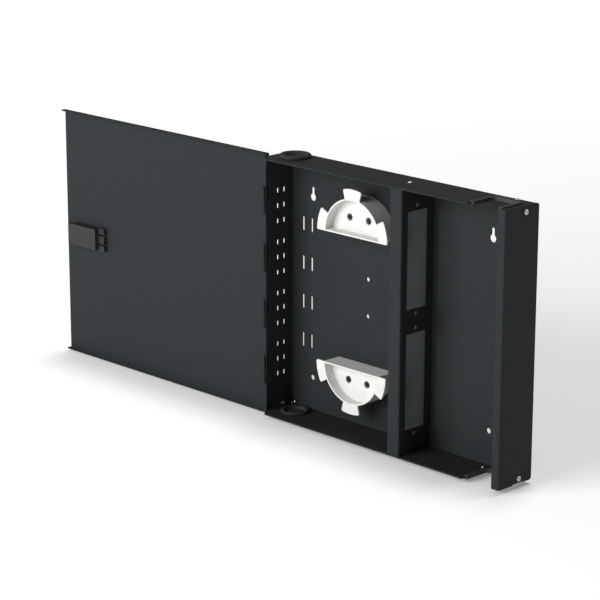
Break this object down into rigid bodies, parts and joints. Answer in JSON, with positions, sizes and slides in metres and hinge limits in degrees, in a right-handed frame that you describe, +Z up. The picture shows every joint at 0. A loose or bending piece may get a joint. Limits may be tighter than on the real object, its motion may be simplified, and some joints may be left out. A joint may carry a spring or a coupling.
{
  "type": "fiber termination box",
  "caption": "Shallow wall-mounted sheet-metal fiber termination box with a side-hinged latching door, slack spools, adapter partition and cable entries.",
  "frame": {"origin": "middle of the back face of the box, in the plane that lies against the wall", "axes": "+X to the viewer's right along the width, +Y backwards into the wall, +Z up"},
  "size_m": [0.7103, 0.0521, 0.3038],
  "materials": {
    "powder_coat": "fine-texture charcoal powder coat",
    "white_plastic": "satin moulded white",
    "grommet_rubber": "matte black rubber",
    "trim_rubber": "matte dark warm grey edge trim",
    "rivet_aluminium": "satin",
    "zinc_steel": "bright zinc plate",
    "dark_steel": "blackened steel",
    "spring_steel": "drawn wire",
    "latch_plastic": "grey glass-filled nylon"
  },
  "bodies": {
    "enclosure": {"adapter_partition": "powder_coat", "body_shell": "powder_coat", "cable_grommet_bottom": "grommet_rubber", "cable_grommet_top": "grommet_rubber", "corner_rivet_left_bottom": "rivet_aluminium", "corner_rivet_left_top": "rivet_aluminium", "corner_rivet_right_bottom": "rivet_aluminium", "corner_rivet_right_top": "rivet_aluminium", "edge_trim_bottom": "trim_rubber", "edge_trim_top": "trim_rubber", "hinge_pin_1": "dark_steel", "hinge_pin_2": "dark_steel", "hinge_pin_3": "dark_steel", "hinge_pin_4": "dark_steel", "hinge_side_wall": "powder_coat", "latch_side_channel": "powder_coat", "notch_stud_bottom": "zinc_steel", "notch_stud_top": "zinc_steel", "partition_rivet_bottom": "rivet_aluminium", "partition_rivet_top": "rivet_aluminium", "slack_spool_lower": "white_plastic", "slack_spool_upper": "white_plastic", "spool_screw_lower_left": "dark_steel", "spool_screw_lower_right": "dark_steel", "spool_screw_upper_left": "dark_steel", "spool_screw_upper_right": "dark_steel"},
    "door_leaf": {"door": "powder_coat", "latch_housing": "latch_plastic", "latch_clip": "latch_plastic", "latch_bezel": "latch_plastic", "latch_spring": "spring_steel"},
    "latch_slider": {"latch_bolt": "latch_plastic", "latch_pull": "latch_plastic"}
  },
  "joints": [
    {"name": "door_hinge", "type": "hinge", "parent": "enclosure", "child": "door_leaf", "pos_m": [-0.17795, -0.04355, 0], "axis": [0, 0, 1], "range_deg": [0, 180]},
    {"name": "latch_slide", "type": "slide", "parent": "door_leaf", "child": "latch_slider", "axis": [1, 0, 0], "range_m": [0, 0.006], "stiffness_N_per_m": 250, "springref_m": -0.008, "deforming": ["latch_spring"]}
  ]
}
